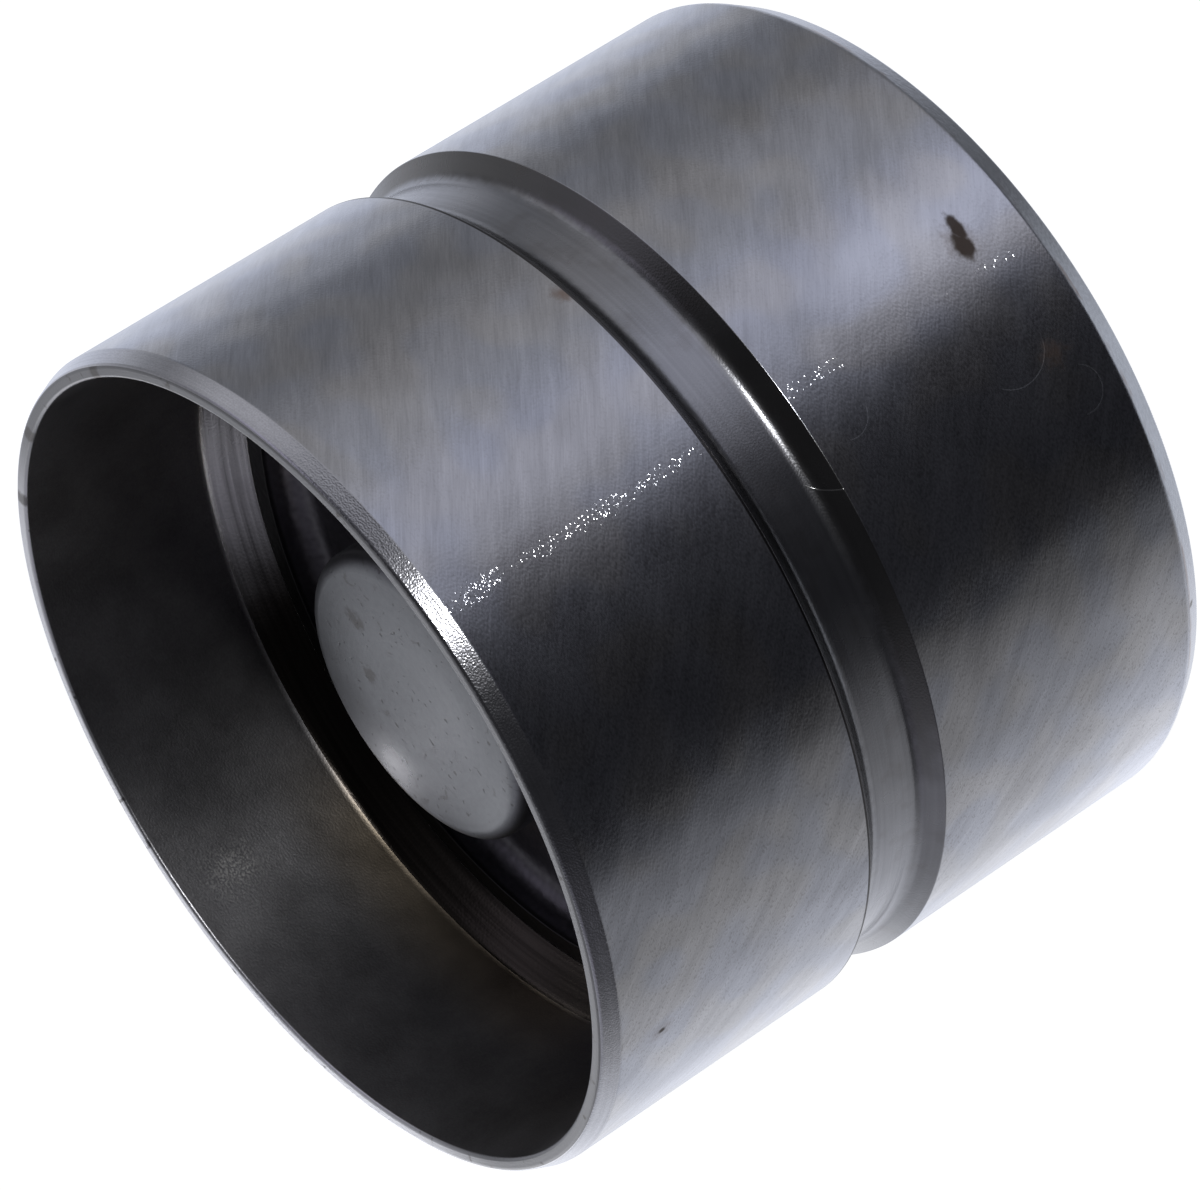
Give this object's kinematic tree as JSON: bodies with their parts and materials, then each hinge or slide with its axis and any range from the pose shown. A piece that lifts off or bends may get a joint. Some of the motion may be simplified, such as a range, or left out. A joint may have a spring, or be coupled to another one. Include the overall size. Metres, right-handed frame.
{
  "type": "hydraulic valve lifter",
  "caption": "Bucket-type hydraulic valve lifter: ground steel cup with an oil groove and open skirt, and a sprung pressure cylinder with check valve in its guide sleeve.",
  "frame": {"origin": "middle of the cam face, which the lifter stands on", "axes": "+Z along the lifter's axis from the cam face to the open rim, +Y towards the oil feed hole"},
  "size_m": [0.031, 0.031, 0.0265],
  "materials": {
    "ground_steel": "ground bearing steel, dark grey with fine grinding lines",
    "dark_web_steel": "blackened pressed steel with an oil film",
    "element_steel": "matt hardened steel, lightly scuffed",
    "valve_steel": "bright steel under oil",
    "spring_steel": "drawn spring wire"
  },
  "bodies": {
    "bucket": {"tappet_shell": "ground_steel", "guide_web": "dark_web_steel", "piston": "valve_steel", "valve_cage": "valve_steel", "check_spring": "spring_steel", "return_spring": "spring_steel"},
    "plunger": {"pressure_cylinder": "element_steel"},
    "ball": {"check_ball": "valve_steel"}
  },
  "joints": [
    {"name": "plunger_stroke", "type": "slide", "parent": "bucket", "child": "plunger", "axis": [0, 0, -1], "range_m": [0, 0.0024], "stiffness_N_per_m": 2000, "deforming": ["return_spring"]},
    {"name": "ball_lift", "type": "slide", "parent": "bucket", "child": "ball", "axis": [0, 0, 1], "range_m": [0, 0.0003], "stiffness_N_per_m": 60, "deforming": ["check_spring"]}
  ]
}
